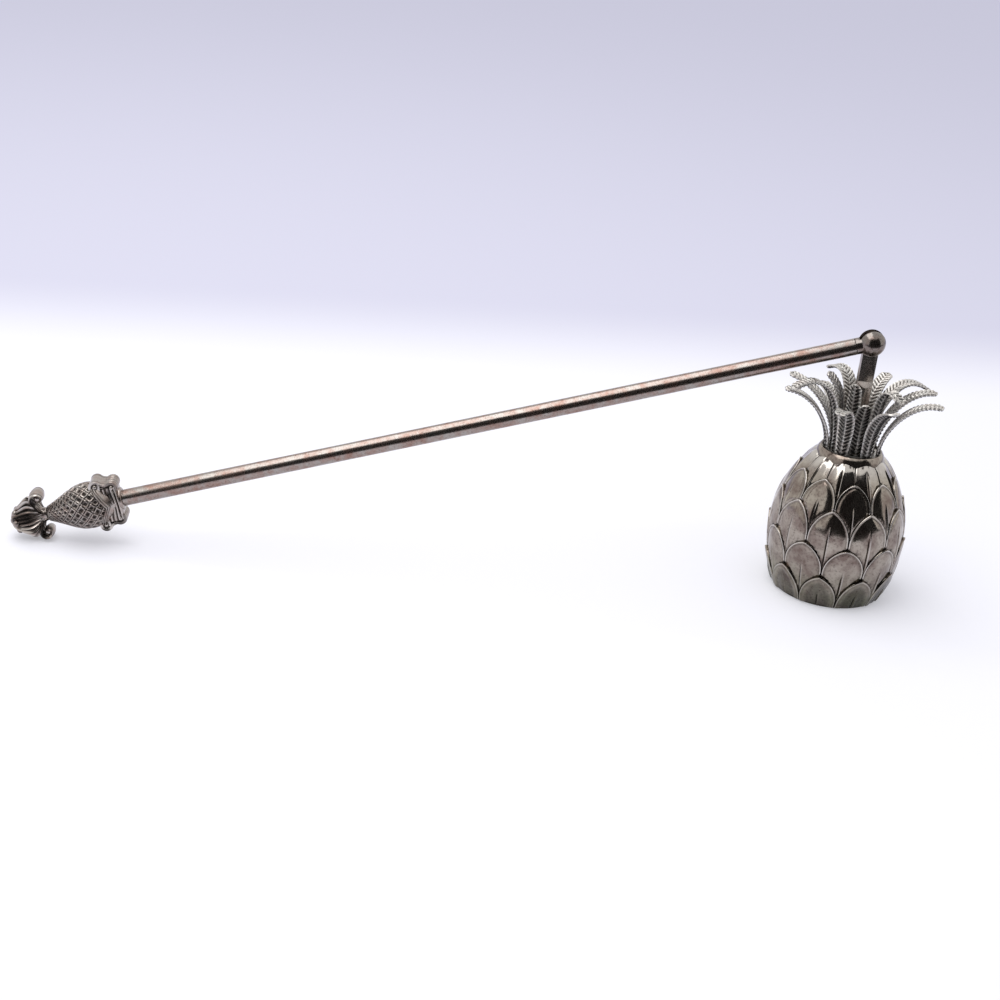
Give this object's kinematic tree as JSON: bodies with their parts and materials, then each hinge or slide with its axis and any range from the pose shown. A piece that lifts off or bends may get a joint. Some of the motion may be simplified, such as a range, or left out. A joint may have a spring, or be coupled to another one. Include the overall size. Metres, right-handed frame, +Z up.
{
  "type": "hinged candle snuffer",
  "caption": "Candle snuffer: pineapple-shaped bell crowned with bent leaves, hinged to a long rod handle with a small pineapple finial.",
  "frame": {"origin": "centre of the bell's mouth, in the plane of its rim", "axes": "+Z up along the bell's axis, the handle points along -X, the hinge pin lies along Y"},
  "size_m": [0.2631, 0.0404, 0.0805],
  "materials": {
    "bell_plate": "worn silver plate",
    "leaf_plate": "dull silver plate",
    "post_plate": "worn silver plate",
    "knuckle_plate": "polished silver plate",
    "rod_plate": "worn silver plate",
    "finial_plate": "antique silver plate",
    "fastener_brass": "plain"
  },
  "bodies": {
    "bell": {"bell_shell": "bell_plate", "crown_base": "leaf_plate", "leaf_01": "leaf_plate", "leaf_02": "leaf_plate", "leaf_03": "leaf_plate", "leaf_04": "leaf_plate", "leaf_05": "leaf_plate", "leaf_06": "leaf_plate", "leaf_07": "leaf_plate", "leaf_08": "leaf_plate", "leaf_09": "leaf_plate", "leaf_10": "leaf_plate", "leaf_11": "leaf_plate", "leaf_12": "leaf_plate", "leaf_13": "leaf_plate", "leaf_14": "leaf_plate", "leaf_15": "leaf_plate", "leaf_16": "leaf_plate", "hinge_post": "post_plate", "post_washer": "fastener_brass", "post_nut": "fastener_brass"},
    "handle": {"knuckle_ball": "knuckle_plate", "hinge_pin": "knuckle_plate", "handle_rod": "rod_plate", "finial_stud": "fastener_brass", "finial_collar": "finial_plate", "finial_body": "finial_plate", "finial_crown": "finial_plate"}
  },
  "joints": [
    {"name": "handle_hinge", "type": "hinge", "parent": "bell", "child": "handle", "pos_m": [0, 0, 0.0767], "axis": [0, 1, 0], "range_deg": [0, 210]}
  ]
}
